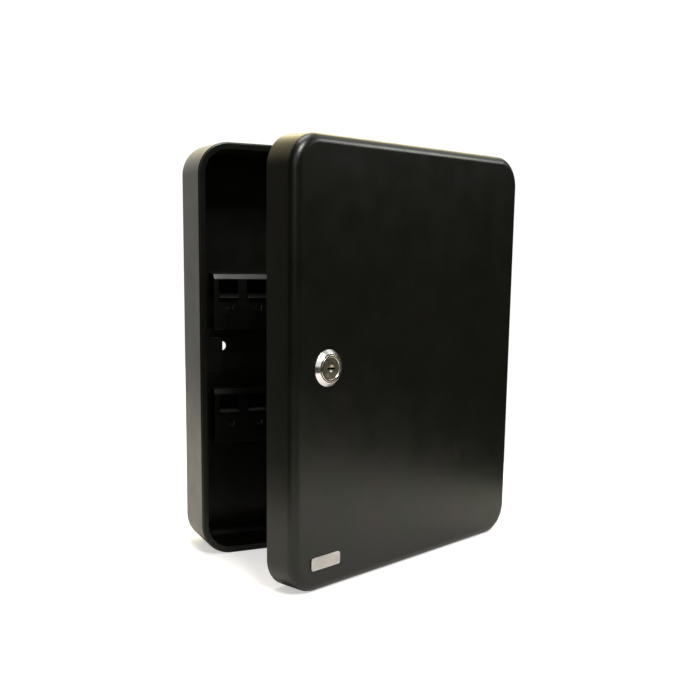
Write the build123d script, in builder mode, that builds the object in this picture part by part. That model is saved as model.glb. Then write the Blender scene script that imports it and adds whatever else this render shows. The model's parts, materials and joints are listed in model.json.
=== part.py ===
"""Wall-mounted key cabinet: a steel body tray with two hook rails, and a door tray with a cam lock.

Millimetres, +Z up. The origin is on the wall plane, midway between the two wall-fixing holes. The wall is
at y = 0, and the cabinet stands out from it towards -Y. Every door piece is drawn with the door shut and
then swung about the hinge pins to the angle at which the door stands ajar.
"""
import os

from build123d import *

os.makedirs("parts", exist_ok=True)

# Cabinet
width = 240.0
height = 300.0
middle_z = -1.5            # the trays' mid-height, just under the fixing holes
corner_radius = 22.5
sheet = 1.0
body_depth = 47.5
body_bend = 7.0            # outside radius between the back and the sides
flange_width = 5.0         # the body's narrow front return
flange_bend = 1.4
seam = 0.5                 # gap between the two trays when shut
door_depth = 26.0
door_bend = 6.5
door_face = body_depth + seam + door_depth
door_angle = 22.0          # how far the door stands open

# Wall-fixing holes, on the origin's height
fixing_spacing = 180.0
fixing_radius = 3.5

# Hinges
knuckle_radius = 2.5
pin_radius = 1.5
running_gap = 0.05
leaf = 1.0
hinge_x = width / 2 - sheet - leaf + knuckle_radius
hinge_front = body_depth + seam / 2
hinge_height = 40.0
hinge_rise = 88.0          # each hinge's distance above or below mid-height
leaf_reach = 18.5
middle_knuckle = 13.2
knuckle_gap = 0.3
pin_head_radius = 2.3
pin_head = 0.8
pin_rounding = 0.6         # a head's rounding, as a share of its height
notch_gap = 0.8            # room round the knuckles in the tray walls

# Key rails
rail_length = 200.0
rail_height = 42.5
rail_tops = {"upper": 56.0, "lower": -31.0}
rail_front = 16.0          # the web's front face, from the wall
rail_chamfer = 4.0         # height of the sloping fold along the rail's top
rail_slope = 2.0           # how far that fold leans back
rail_back_flange = 14.0
rail_bottom_flange = 10.0
hook_count = 9
hook_pitch = 22.25
window_width = 15.0
window_height = 12.0
window_drop = 16.5         # the window's bottom edge, below the rail's top
sill_reach = 2.2
hook_drop = 27.5           # the shank's centre, below the rail's top
hook_radius = 1.1
hook_hole_gap = 0.05
shank_length = 7.0
hook_bend = 3.0
hook_turn = 65.0
hook_tip = 2.6
hook_collar_radius = 2.2
hook_collar = 0.8

# Strike bracket on the left wall
strike_height = 25.0
strike_edge = 17.0         # how far its plate reaches in from the outside of the left wall
strike_front = 45.5        # front of its plate, from the wall
strike_leg = 20.0
strike_bend = 1.6
strike_corner = 2.0

# Cam lock, measured inwards from the door's outer face unless said otherwise
lock_x = -90.0
ring_radius = 12.25
ring_edge = 0.6
ring_front_radius = 9.8
ring_height = 3.0
ring_bore = 9.0
ring_rounding = 0.4
head_radius = 8.9
head_height = 3.5
head_seat = 1.0
head_chamfer = 0.35
barrel_radius = 8.5
barrel_flat = 7.5
barrel_length = 29.0
hole_gap = 0.1
plug_radius = 5.65
plug_flange_radius = 7.1
plug_recess = 0.3
plug_flange = 1.15
keyway_width = 7.7
keyway_height = 1.3
keyway_depth = 24.0
dimple_radius = 2.45
dimple_depth = 0.7
drive_size = 7.0
drive_gap = 0.1
wafer_count = 5
wafer_first = 3.0
wafer_pitch = 3.2
wafer = 0.8
wafer_slot = 1.0
wafer_length = 10.4
wafer_height = 5.6
wafer_slack = 0.25         # room round the key in a wafer's window
spring_radius = 0.42
spring_length = 2.2
spring_pocket = 1.4
spring_ear = 0.9           # the lug of a wafer that its spring pushes
nut_across_flats = 22.0
nut_thickness = 4.0
stop_radius = 6.1
stop_tongue = 4.0
stop_tongue_reach = 7.4
stop_ring_inner = 6.4
stop_washer_thickness = 1.0
cam_thickness = 2.0
cam_boss_radius = 8.0
cam_width = 12.0
cam_reach = 22.0
cam_tip_radius = 5.0
screw_radius = 2.0
screw_length = 8.0
screw_head_radius = 3.8
screw_head = 2.6
screw_head_bend = 1.5
screw_cross = 0.9          # width of the driver's cross recess
lock_washer_radius = 4.0
lock_washer = 0.8
lock_washer_split = 0.5

# Blank nameplate on the door
plate_x = -91.0
plate_z = -131.0
plate_width = 27.0
plate_height = 9.0
plate_radius = 2.0
plate_thickness = 0.9
adhesive = 0.25
adhesive_margin = 1.0      # how much smaller the pad is than the plate, over both edges

hinge_pin_line = Axis((hinge_x, -hinge_front, 0), (0, 0, 1))
hinges = {"upper": middle_z + hinge_rise, "lower": middle_z - hinge_rise}


def front_plane(distance, x=0.0, z=0.0):
    """A sketch plane parallel to the wall and facing the room, at a distance out from the wall."""
    return Plane(origin=(x, -distance, z), x_dir=(1, 0, 0), z_dir=(0, -1, 0))


def lock_plane(depth):
    """A plane across the lock's axis, a depth behind the door's outer face, facing the room."""
    return front_plane(door_face - depth, lock_x)


def write(piece, name):
    """Label a finished piece and write it as its own file."""
    piece.label = name
    export_step(piece, f"parts/{name}.step")


def write_on_door(piece, name):
    """The same for a piece of the door, swung to where the door stands ajar."""
    write(piece.rotate(hinge_pin_line, door_angle), name)


def hinge_notches():
    """Cut the slots that let the knuckles through the right wall, in the tray being built."""
    slot_width = width / 2 - (hinge_x - knuckle_radius) + leaf + notch_gap
    slot_depth = 2 * (knuckle_radius + notch_gap)
    for z in hinges.values():
        with Locations((width / 2 - slot_width / 2 + leaf, -hinge_front, z)):
            Box(slot_width, slot_depth, hinge_height + 2 * notch_gap, mode=Mode.SUBTRACT)


# --- Body tray: back, four sides and a narrow flange turned in round the mouth ---
with BuildPart() as body_shell:
    with BuildSketch(front_plane(0, z=middle_z)):
        RectangleRounded(width, height, corner_radius)
    extrude(amount=body_depth)
    fillet(body_shell.faces().sort_by(Axis.Y)[-1].edges(), body_bend)
    offset(amount=-sheet, openings=body_shell.faces().sort_by(Axis.Y)[0])
    with BuildSketch(front_plane(body_depth - sheet, z=middle_z)):
        RectangleRounded(width, height, corner_radius)
        RectangleRounded(width - 2 * flange_width, height - 2 * flange_width,
                         corner_radius - flange_width, mode=Mode.SUBTRACT)
    extrude(amount=sheet)
    mouth = body_shell.faces().sort_by(Axis.Y)[0]
    fillet(mouth.outer_wire().edges(), flange_bend)
    with BuildSketch(front_plane(0)):
        with GridLocations(fixing_spacing, 0, 2, 1):
            Circle(fixing_radius)
    extrude(amount=sheet, mode=Mode.SUBTRACT)
    hinge_notches()
write(body_shell.part, "body_shell")

# --- Door tray: a deep-drawn lid with soft edges, and the lock's double-D hole ---
with BuildPart() as door_shell:
    with BuildSketch(front_plane(body_depth + seam, z=middle_z)):
        RectangleRounded(width, height, corner_radius)
    extrude(amount=door_depth)
    fillet(door_shell.faces().sort_by(Axis.Y)[0].edges(), door_bend)
    offset(amount=-sheet, openings=door_shell.faces().sort_by(Axis.Y)[-1])
    with BuildSketch(lock_plane(sheet)):
        Circle(barrel_radius + hole_gap)
        Rectangle(2 * (barrel_flat + hole_gap), 2 * ring_radius, mode=Mode.INTERSECT)
    extrude(amount=sheet, mode=Mode.SUBTRACT)
    hinge_notches()
write_on_door(door_shell.part, "door_shell")

# --- Hinge leaves: each lies on the inside of its right wall and rolls round the pin ---
def knuckle_leaf(side, z, knuckles):
    """One leaf, on the body for side -1 or the door for side 1, with a (low, high) height per knuckle."""
    plate_near = knuckle_radius + notch_gap - running_gap
    plate_x_mid = hinge_x - knuckle_radius + leaf / 2
    with BuildPart() as hinge_leaf:
        with Locations((plate_x_mid, -hinge_front - side * (plate_near + leaf_reach) / 2, z)):
            Box(leaf, leaf_reach - plate_near, hinge_height)
        for low, high in knuckles:
            with BuildSketch(Plane.XY.offset(z + low)):
                with Locations((hinge_x, -hinge_front)):
                    Circle(knuckle_radius)
                with Locations((plate_x_mid, -hinge_front - side * plate_near / 2)):
                    Rectangle(leaf, plate_near)
            extrude(amount=high - low)
        with Locations((hinge_x, -hinge_front, z)):
            Cylinder(pin_radius + running_gap, hinge_height, mode=Mode.SUBTRACT)
    return hinge_leaf.part


outer_start = middle_knuckle / 2 + knuckle_gap
outer_end = hinge_height / 2
for place, hinge_z in hinges.items():
    outer_knuckles = [(-outer_end, -outer_start), (outer_start, outer_end)]
    write(knuckle_leaf(-1, hinge_z, outer_knuckles), f"hinge_body_leaf_{place}")
    inner_knuckle = [(-middle_knuckle / 2, middle_knuckle / 2)]
    write_on_door(knuckle_leaf(1, hinge_z, inner_knuckle), f"hinge_door_leaf_{place}")

    with BuildPart() as hinge_pin:
        with Locations((hinge_x, -hinge_front, hinge_z)):
            Cylinder(pin_radius, hinge_height)
        for end in (-1, 1):
            with Locations((hinge_x, -hinge_front, hinge_z + end * (hinge_height + pin_head) / 2)):
                Cylinder(pin_head_radius, pin_head)
        caps = hinge_pin.faces().sort_by(Axis.Z)
        fillet(caps[0].edges() + caps[-1].edges(), pin_head * pin_rounding)
    write(hinge_pin.part, f"hinge_pin_{place}")

# --- Key rails: one folded strip each, with a label window and a hook hole per key ---
for place, top in rail_tops.items():
    bottom = top - rail_height
    window_z = top - window_drop
    with BuildPart() as key_rail:
        with BuildSketch(Plane.YZ.offset(-rail_length / 2)):
            with BuildLine():
                fold = Polyline((-rail_front + rail_bottom_flange, bottom + sheet / 2),
                                (-rail_front + sheet / 2, bottom + sheet / 2),
                                (-rail_front + sheet / 2, top - rail_chamfer - sheet / 2),
                                (-rail_front + rail_slope + sheet / 2, top - sheet / 2),
                                (-sheet * 1.5, top - sheet / 2),
                                (-sheet * 1.5, top - rail_back_flange))
                offset(fold, amount=sheet / 2, side=Side.BOTH)
            make_face()
        extrude(amount=rail_length)
        with BuildSketch(front_plane(rail_front - sheet, z=window_z + window_height / 2)):
            with GridLocations(hook_pitch, 0, hook_count, 1):
                Rectangle(window_width, window_height)
        extrude(amount=sheet, mode=Mode.SUBTRACT)
        with BuildSketch(front_plane(rail_front - sheet, z=top - hook_drop)):
            with GridLocations(hook_pitch, 0, hook_count, 1):
                Circle(hook_radius + hook_hole_gap)
        extrude(amount=sheet, mode=Mode.SUBTRACT)
        # Each window's flap is turned out and down as a sill.
        for column in range(hook_count):
            x = (column - (hook_count - 1) / 2) * hook_pitch
            with BuildSketch(Plane.YZ.offset(x - window_width / 2)):
                Polygon((-rail_front + sheet, window_z - sheet), (-rail_front + sheet, window_z),
                        (-rail_front, window_z), (-rail_front - sill_reach, window_z - sill_reach),
                        (-rail_front - sill_reach, window_z - sill_reach - sheet),
                        (-rail_front, window_z - sheet), align=None)
            extrude(amount=window_width)
    write(key_rail.part, f"key_rail_{place}")

    # Hooks: a peened shank with a collar, turned up at the front.
    shank_end = rail_front + hook_collar + shank_length
    with BuildPart() as key_hooks:
        for column in range(hook_count):
            x = (column - (hook_count - 1) / 2) * hook_pitch
            start = front_plane(rail_front - sheet - hook_collar, x, top - hook_drop)
            with BuildLine(Plane.YZ.offset(x)):
                shank = Line((-(rail_front - sheet - hook_collar), top - hook_drop),
                             (-shank_end, top - hook_drop))
                turn = JernArc(shank @ 1, shank % 1, hook_bend, -hook_turn)
                Line(turn @ 1, turn @ 1 + hook_tip * (turn % 1))
            with BuildSketch(start):
                Circle(hook_radius)
            sweep()
            for collar_front in (rail_front + hook_collar, rail_front - sheet):
                with BuildSketch(front_plane(collar_front, x, top - hook_drop)):
                    Circle(hook_collar_radius)
                extrude(amount=-hook_collar)
    write(key_hooks.part, f"key_hooks_{place}")

# --- Strike bracket: an angle welded to the left wall, behind which the cam turns ---
left_wall = -width / 2 + sheet
with BuildPart() as strike_bracket:
    with BuildSketch(Plane.XY.offset(middle_z - strike_height / 2)):
        with Locations(((-width / 2 + strike_edge + left_wall) / 2, -strike_front + sheet / 2)):
            Rectangle(strike_edge - sheet, sheet)
        with Locations((left_wall + sheet / 2, -strike_front + strike_leg / 2)):
            Rectangle(sheet, strike_leg)
    extrude(amount=strike_height)
    upright_edges = strike_bracket.edges().filter_by(Axis.Z)
    fillet(upright_edges.sort_by_distance((left_wall, -strike_front, 0))[0], strike_bend)
    free_corners = strike_bracket.faces().sort_by(Axis.X)[-1].edges().filter_by(Axis.Y)
    fillet(free_corners, strike_corner)
write(strike_bracket.part, "strike_bracket")

# --- Lock trim ring: a turned cone with a shoulder under the lock's head ---
lock_section = Plane(origin=(lock_x, -door_face, 0), x_dir=(1, 0, 0), z_dir=(0, 0, 1))
lock_line = Axis((lock_x, -door_face, 0), (0, 1, 0))
with BuildPart() as lock_trim_ring:
    with BuildSketch(lock_section):
        Polygon((barrel_radius + hole_gap, 0), (ring_radius, 0), (ring_radius, -ring_edge),
                (ring_front_radius, -ring_height), (ring_bore, -ring_height), (ring_bore, -head_seat),
                (barrel_radius + hole_gap, -head_seat), align=None)
    revolve(axis=lock_line)
    front_circles = lock_trim_ring.edges().filter_by(GeomType.CIRCLE).group_by(Axis.Y)[0]
    fillet(front_circles.sort_by(SortBy.RADIUS)[-1], ring_rounding)
write_on_door(lock_trim_ring.part, "lock_trim_ring")

# --- Lock housing: head, flatted barrel, plug bore, and the raised ring that stops the tongue ---
plug_front = -head_height + plug_recess
plug_seat = plug_front + plug_flange + running_gap
with BuildPart() as lock_housing:
    with BuildSketch(lock_section):
        Polygon((plug_radius + running_gap, plug_seat), (plug_flange_radius + running_gap, plug_seat),
                (plug_flange_radius + running_gap, -head_height),
                (head_radius - head_chamfer, -head_height), (head_radius, -head_height + head_chamfer),
                (head_radius, -head_seat), (barrel_radius, -head_seat),
                (barrel_radius, barrel_length), (plug_radius + running_gap, barrel_length), align=None)
    revolve(axis=lock_line)
    with BuildSketch(lock_plane(barrel_length)):
        Circle(barrel_radius)
        Circle(stop_ring_inner, mode=Mode.SUBTRACT)
        # The tongue's quarter turn, from straight up to the right, is left open.
        stop_corner = -stop_tongue / 2 - 2 * hole_gap
        with Locations((stop_corner, stop_corner)):
            Rectangle(2 * barrel_radius, 2 * barrel_radius, align=(Align.MIN, Align.MIN), mode=Mode.SUBTRACT)
    extrude(amount=-stop_washer_thickness)
    with BuildSketch(lock_plane(barrel_length + stop_washer_thickness)):
        Rectangle(4 * barrel_radius, 4 * barrel_radius)
        Rectangle(2 * barrel_flat, 4 * barrel_radius, mode=Mode.SUBTRACT)
    extrude(amount=barrel_length + stop_washer_thickness, mode=Mode.SUBTRACT)
write_on_door(lock_housing.part, "lock_housing")

# --- Nut on the inside of the door ---
with BuildPart() as lock_nut:
    with BuildSketch(lock_plane(sheet + nut_thickness)):
        RegularPolygon(nut_across_flats / 2, 6, major_radius=False)
        Circle(barrel_radius + running_gap, mode=Mode.SUBTRACT)
    extrude(amount=nut_thickness)
write_on_door(lock_nut.part, "lock_nut")

# --- Plug: the part that the key turns ---
drive_start = barrel_length + hole_gap
drive_end = drive_start + stop_washer_thickness + cam_thickness - hole_gap
with BuildPart() as lock_plug:
    with BuildSketch(lock_plane(plug_front + plug_flange)):
        Circle(plug_flange_radius)
    extrude(amount=plug_flange)
    with BuildSketch(lock_plane(drive_start)):
        Circle(plug_radius)
    extrude(amount=drive_start - plug_front - plug_flange)
    with BuildSketch(lock_plane(drive_end)):
        Rectangle(drive_size, drive_size)
    extrude(amount=drive_end - drive_start)
    with BuildSketch(lock_plane(plug_front + keyway_depth)):
        SlotOverall(keyway_width, keyway_height)
    extrude(amount=keyway_depth, mode=Mode.SUBTRACT)
    # A shallow spun dimple guides the key's tip.
    sphere_radius = (dimple_radius**2 + dimple_depth**2) / (2 * dimple_depth)
    with Locations((lock_x, -door_face + plug_front - sphere_radius + dimple_depth, 0)):
        Sphere(sphere_radius, mode=Mode.SUBTRACT)
    for number in range(wafer_count):
        slot_back = wafer_first + number * wafer_pitch + wafer_slot / 2
        with BuildSketch(lock_plane(slot_back)):
            Rectangle(2 * barrel_radius, wafer_height + 2 * hole_gap)
            with Locations((-hole_gap, wafer_height / 2)):
                Rectangle(spring_length + 1.2, spring_pocket, align=(Align.MIN, Align.MIN))
        extrude(amount=wafer_slot, mode=Mode.SUBTRACT)
    with BuildSketch(lock_plane(drive_end)):
        Circle(screw_radius + running_gap)
    extrude(amount=screw_length, mode=Mode.SUBTRACT)
write_on_door(lock_plug.part, "lock_plug")

# --- Wafers and their springs, drawn where the key holds them: flush with the plug ---
with BuildPart() as lock_wafers:
    for number in range(wafer_count):
        wafer_back = wafer_first + number * wafer_pitch + wafer / 2
        with BuildSketch(lock_plane(wafer_back)):
            Rectangle(wafer_length, wafer_height)
            Circle(plug_radius - running_gap, mode=Mode.INTERSECT)
            with Locations((0, wafer_height / 2)):
                Rectangle(spring_ear, spring_pocket - hole_gap, align=(Align.MIN, Align.MIN))
            Rectangle(keyway_width + 2 * wafer_slack, keyway_height + 2 * wafer_slack, mode=Mode.SUBTRACT)
        extrude(amount=wafer)
write_on_door(lock_wafers.part, "lock_wafers")

with BuildPart() as wafer_springs:
    for number in range(wafer_count):
        spring_y = wafer_first + number * wafer_pitch - door_face
        spring_z = (wafer_height + spring_pocket) / 2
        spring_end = (lock_x + spring_ear + hole_gap, spring_y, spring_z)
        with BuildSketch(Plane(origin=spring_end, x_dir=(0, 1, 0), z_dir=(1, 0, 0))):
            Circle(spring_radius)
        extrude(amount=spring_length)
write_on_door(wafer_springs.part, "wafer_springs")

# --- Stop washer: keyed to the plug's square, its tongue limits the turn to a quarter ---
with BuildPart() as stop_washer:
    with BuildSketch(lock_plane(drive_start + stop_washer_thickness)):
        Circle(stop_radius)
        Rectangle(stop_tongue, stop_tongue_reach, align=(Align.CENTER, Align.MIN))
        Rectangle(drive_size + drive_gap, drive_size + drive_gap, mode=Mode.SUBTRACT)
    extrude(amount=stop_washer_thickness)
write_on_door(stop_washer.part, "stop_washer")

# --- Cam: hangs straight down while the door is unlocked ---
cam_back = drive_start + stop_washer_thickness + cam_thickness
with BuildPart() as lock_cam:
    with BuildSketch(lock_plane(cam_back)):
        Circle(cam_boss_radius)
        with Locations((0, -cam_reach / 2)):
            Rectangle(cam_width, cam_reach)
    extrude(amount=cam_thickness)
    tip_corners = lock_cam.edges().filter_by(Axis.Y).group_by(Axis.Z)[0]
    fillet(tip_corners, cam_tip_radius)
    with BuildSketch(lock_plane(cam_back)):
        Rectangle(drive_size + drive_gap, drive_size + drive_gap)
    extrude(amount=cam_thickness, mode=Mode.SUBTRACT)
write_on_door(lock_cam.part, "lock_cam")

# --- Split lock washer and the screw that holds the cam on ---
with BuildPart() as cam_lock_washer:
    with BuildSketch(lock_plane(cam_back + lock_washer)):
        Circle(lock_washer_radius)
        Circle(screw_radius + hole_gap, mode=Mode.SUBTRACT)
        Rectangle(lock_washer_radius, lock_washer_split, align=(Align.MIN, Align.CENTER), mode=Mode.SUBTRACT)
    extrude(amount=lock_washer)
write_on_door(cam_lock_washer.part, "cam_lock_washer")

screw_seat = cam_back + lock_washer
with BuildPart() as cam_screw:
    with BuildSketch(lock_plane(screw_seat)):
        Circle(screw_radius)
    extrude(amount=screw_length)
    with BuildSketch(lock_plane(screw_seat + screw_head)):
        Circle(screw_head_radius)
    extrude(amount=screw_head)
    fillet(cam_screw.faces().sort_by(Axis.Y)[-1].edges(), screw_head_bend)
    with BuildSketch(lock_plane(screw_seat + screw_head)):
        Rectangle(screw_head_radius, screw_cross)
        Rectangle(screw_cross, screw_head_radius)
    extrude(amount=screw_head / 2, mode=Mode.SUBTRACT)
write_on_door(cam_screw.part, "cam_screw")

# --- Blank nameplate and the adhesive pad that holds it to the door ---
with BuildPart() as nameplate_adhesive:
    with BuildSketch(front_plane(door_face, plate_x, plate_z)):
        RectangleRounded(plate_width - adhesive_margin, plate_height - adhesive_margin,
                         plate_radius - adhesive_margin / 2)
    extrude(amount=adhesive)
write_on_door(nameplate_adhesive.part, "nameplate_adhesive")

with BuildPart() as nameplate:
    with BuildSketch(front_plane(door_face + adhesive, plate_x, plate_z)):
        RectangleRounded(plate_width, plate_height, plate_radius)
    extrude(amount=plate_thickness)
    fillet(nameplate.faces().sort_by(Axis.Y)[0].edges(), plate_thickness / 3)
write_on_door(nameplate.part, "nameplate")
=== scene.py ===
# %% [markdown]
# # A steel key cabinet, finished around its CAD frame
# The cabinet is two pressed steel trays with a black powder coat. The rear tray hangs on the wall and
# holds two rails of key hooks, and the front tray is a door on butt hinges with a chromed cam lock.
# The CAD frame already fixes every size and every joint. This lesson models each visible piece again
# with soft, smooth edges, gives it a procedural finish and sets up a plain studio.

# %% Load the frame
import json
import math

import bmesh
import bpy
from mathutils import Matrix, Vector


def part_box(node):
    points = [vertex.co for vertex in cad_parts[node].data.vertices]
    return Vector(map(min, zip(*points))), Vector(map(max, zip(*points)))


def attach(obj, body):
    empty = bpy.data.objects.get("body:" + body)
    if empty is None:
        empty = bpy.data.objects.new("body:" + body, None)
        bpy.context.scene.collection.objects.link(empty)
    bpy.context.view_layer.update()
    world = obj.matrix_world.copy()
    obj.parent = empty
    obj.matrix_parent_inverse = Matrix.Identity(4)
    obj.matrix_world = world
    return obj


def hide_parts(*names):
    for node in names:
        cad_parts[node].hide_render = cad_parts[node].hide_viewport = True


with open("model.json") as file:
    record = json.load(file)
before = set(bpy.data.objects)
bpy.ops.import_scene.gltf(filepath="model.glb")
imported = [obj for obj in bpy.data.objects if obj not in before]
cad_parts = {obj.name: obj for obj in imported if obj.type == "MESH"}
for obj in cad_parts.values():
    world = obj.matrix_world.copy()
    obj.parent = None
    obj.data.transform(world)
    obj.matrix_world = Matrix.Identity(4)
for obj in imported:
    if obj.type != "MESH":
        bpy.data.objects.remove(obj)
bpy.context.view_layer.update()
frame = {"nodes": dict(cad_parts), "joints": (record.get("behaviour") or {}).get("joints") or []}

# %% [markdown]
# ## Measures
# The frame is in metres, with the wall at y = 0 and the room towards -Y. The door stands ajar, which is
# awkward to model in, so door pieces are made for a shut door and then swung about the hinge pins.
# The joint in the frame tells where the pins are and how far the door has to turn to be shut.

# %% The door's swing
MM = 0.001
JOINTS = {joint["name"]: joint for joint in frame["joints"]}
HINGE = Vector(JOINTS["door_swing"]["pos_m"])
AJAR = -math.radians(JOINTS["door_swing"]["range_deg"][0])
SWING = Matrix.Translation(HINGE) @ Matrix.Rotation(AJAR, 4, "Z") @ Matrix.Translation(-HINGE)
UNSWING = SWING.inverted()


def shut_box(node):
    """The lowest and highest corner that a door node has once the door is shut."""
    points = [UNSWING @ vertex.co for vertex in frame["nodes"][node].data.vertices]
    low = Vector([min(p[axis] for p in points) for axis in range(3)])
    high = Vector([max(p[axis] for p in points) for axis in range(3)])
    return low, high


BODY_LOW, BODY_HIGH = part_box("body_shell")
DOOR_LOW, DOOR_HIGH = shut_box("door_shell")
LOCK = UNSWING @ Vector(JOINTS["lock_turn"]["pos_m"])
print("door ajar by", round(math.degrees(AJAR)), "degrees; lock at", [round(x / MM, 1) for x in LOCK])

# %% [markdown]
# ## Camera
# The camera stands to the left of the cabinet, a little above it, and leans slightly. The cabinet was
# framed away from the lens's middle, so the camera has a small shift. A rotation matrix is the simplest
# way to combine pan, tilt and lean: its columns are the camera's right, up and back directions.

# %% Camera
PAN, TILT, LEAN = (math.radians(a) for a in (27.84, -10.06, 1.41))
ahead = Vector((math.sin(PAN) * math.cos(TILT), math.cos(PAN) * math.cos(TILT), math.sin(TILT)))
level_right = Vector((math.cos(PAN), -math.sin(PAN), 0))
level_up = level_right.cross(ahead)
right = level_right * math.cos(LEAN) + level_up * math.sin(LEAN)
up = level_up * math.cos(LEAN) - level_right * math.sin(LEAN)

bpy.ops.object.select_all(action="DESELECT")
bpy.ops.object.camera_add()
camera = bpy.context.object
camera.name = "camera"
camera.matrix_world = Matrix.Translation((-0.32291, -0.75607, 0.0832)) @ Matrix(
    (right, up, -ahead)).transposed().to_4x4()
camera.data.lens = 51.95
camera.data.sensor_width = 36
camera.data.shift_x = -0.0857
camera.data.shift_y = 0.1
camera.data.clip_end = 100
bpy.context.scene.camera = camera

# %% [markdown]
# ## Selecting by place
# In the viewport you would click the edges you want. A script does the same with a test on each
# element: this helper works in edit mode and selects what passes. `middle` gives an element's middle.


# %% Selection helpers
def only(obj):
    """Select one object, and nothing else, and make it the active one."""
    bpy.ops.object.select_all(action="DESELECT")
    obj.select_set(True)
    bpy.context.view_layer.objects.active = obj


def middle(element):
    """The mean of an edge's or a face's vertices."""
    return sum((v.co for v in element.verts), Vector()) / len(element.verts)


def pick(kind, test):
    """In edit mode, select the EDGE or FACE elements that pass a test, and tell how many did."""
    bpy.ops.mesh.select_mode(type=kind)
    bpy.ops.mesh.select_all(action="DESELECT")
    mesh = bmesh.from_edit_mesh(bpy.context.object.data)
    chosen = [e for e in (mesh.edges if kind == "EDGE" else mesh.faces) if test(e)]
    for element in chosen:
        element.select_set(True)
    bmesh.update_edit_mesh(bpy.context.object.data)
    return len(chosen)


def runs_along(edge, axis):
    """Whether an edge is parallel to the X (0), Y (1) or Z (2) axis."""
    direction = (edge.verts[1].co - edge.verts[0].co).normalized()
    return abs(direction[axis]) > 0.999


# %% [markdown]
# ## Where a piece begins
# Each piece starts as a primitive at its size and place. Whatever was selected before is let go first,
# and the place is applied at once, so that coordinates in edit mode are metres in the frame. A cube
# between two corners, as `box` makes it, begins a tray or cuts a slot, and a cylinder cuts a hole.

# %% Primitives
def place_in_mesh(obj):
    """Move an object's place, turn and scale into its mesh, so that the object sits at the origin."""
    only(obj)
    bpy.ops.object.transform_apply(location=True, rotation=True, scale=True)


def begin(name, add, stretch=None, **settings):
    """Add a primitive with an operator and its settings, stretch it if asked, and name it."""
    bpy.ops.object.select_all(action="DESELECT")
    add(**settings)
    obj = bpy.context.object
    obj.name = name
    if stretch:
        obj.scale = stretch
    place_in_mesh(obj)
    return obj


def box(name, low, high):
    """A cube stretched between two corners."""
    low, high = Vector(low), Vector(high)
    return begin(name, bpy.ops.mesh.primitive_cube_add, size=1, location=(low + high) / 2,
                 scale=high - low)


def rod(name, vertices, radius, depth, centre):
    """A cylinder along Y, from the wall to the room."""
    return begin(name, bpy.ops.mesh.primitive_cylinder_add, vertices=vertices, radius=radius,
                 depth=depth, location=centre, rotation=(math.pi / 2, 0, 0))


# %% [markdown]
# ## Modifiers that are applied at once
# Solidify, Bevel, Boolean and Weighted Normal do most of the finishing here. Each is added, set and
# applied in one go, so that the finished mesh holds its own shape.

# %% Modifier helpers
CREASE = math.radians(35)


def apply_modifier(obj, kind, **settings):
    """Add a modifier of a kind, set its values and apply it."""
    only(obj)
    modifier = obj.modifiers.new(kind.title(), kind)
    for name, value in settings.items():
        setattr(modifier, name, value)
    bpy.ops.object.modifier_apply(modifier=modifier.name)


def combine(obj, other, how):
    """Cut, unite or intersect an object with another one, which is used up."""
    apply_modifier(obj, "BOOLEAN", object=other, operation=how, solver="EXACT")
    bpy.data.objects.remove(other)


def join(obj, other):
    """Put another object's mesh into an object as it is, without a Boolean."""
    only(obj)
    other.select_set(True)
    bpy.ops.object.join()


def soften(obj, width=0):
    """Round every sharp edge by a width, if one is given, and shade so that flat faces stay flat."""
    if width:
        apply_modifier(obj, "BEVEL", width=width, segments=2, limit_method="ANGLE",
                       angle_limit=CREASE, use_clamp_overlap=True)
    only(obj)
    bpy.ops.object.shade_smooth_by_angle(angle=CREASE)
    apply_modifier(obj, "WEIGHTED_NORMAL", keep_sharp=True, weight=100)


# %% [markdown]
# ## Handing a piece over
# A finished piece sits at the origin with its place in its mesh, takes a material, stands for its CAD
# nodes and rides on the body that they belong to. Door and lock pieces are first swung ajar.

# %% Handing over
def hand_over(obj, body, nodes, material):
    """Swing a door's or a lock's piece ajar, apply its place, and tell the frame what it is."""
    if body != "body":
        obj.matrix_world = SWING @ obj.matrix_world
    place_in_mesh(obj)
    obj.data.materials.clear()
    obj.data.materials.append(material)
    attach(obj, body)
    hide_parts(*nodes)
    print(f"{obj.name}: {len(obj.data.polygons)} faces on {body}")


# %% [markdown]
# ## Finishes
# All materials read Object coordinates, which are metres in the frame, so a noise scale of 1000 gives
# a pattern about a millimetre across. `blank_material` clears the node tree and gives back the pieces
# that every finish below starts from.

# %% Material helpers
def blank_material(name):
    """A new material with only a Principled shader, and its tree, its shader and Object coordinates."""
    material = bpy.data.materials.new(name)
    material.use_nodes = True
    tree = material.node_tree
    shader = tree.nodes["Principled BSDF"]
    coordinates = tree.nodes.new("ShaderNodeTexCoord")
    return material, tree, shader, coordinates.outputs["Object"]


def noise(tree, place, scale, detail=2.0, stretch=None):
    """A noise texture's value, with the pattern stretched by a scale for each axis if one is given."""
    texture = tree.nodes.new("ShaderNodeTexNoise")
    texture.inputs["Scale"].default_value = scale
    texture.inputs["Detail"].default_value = detail
    if stretch:
        mapping = tree.nodes.new("ShaderNodeMapping")
        mapping.inputs["Rotation"].default_value = (0, 0, -AJAR)
        mapping.inputs["Scale"].default_value = stretch
        tree.links.new(place, mapping.inputs["Vector"])
        place = mapping.outputs["Vector"]
    tree.links.new(place, texture.inputs["Vector"])
    return texture.outputs["Fac"]


def between(tree, value, low, high, start=0.3, end=0.7):
    """Map a value that runs from start to end onto the range from low to high."""
    mapped = tree.nodes.new("ShaderNodeMapRange")
    for socket, number in zip(("From Min", "From Max", "To Min", "To Max"), (start, end, low, high)):
        mapped.inputs[socket].default_value = number
    tree.links.new(value, mapped.inputs["Value"])
    return mapped.outputs["Result"]


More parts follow.
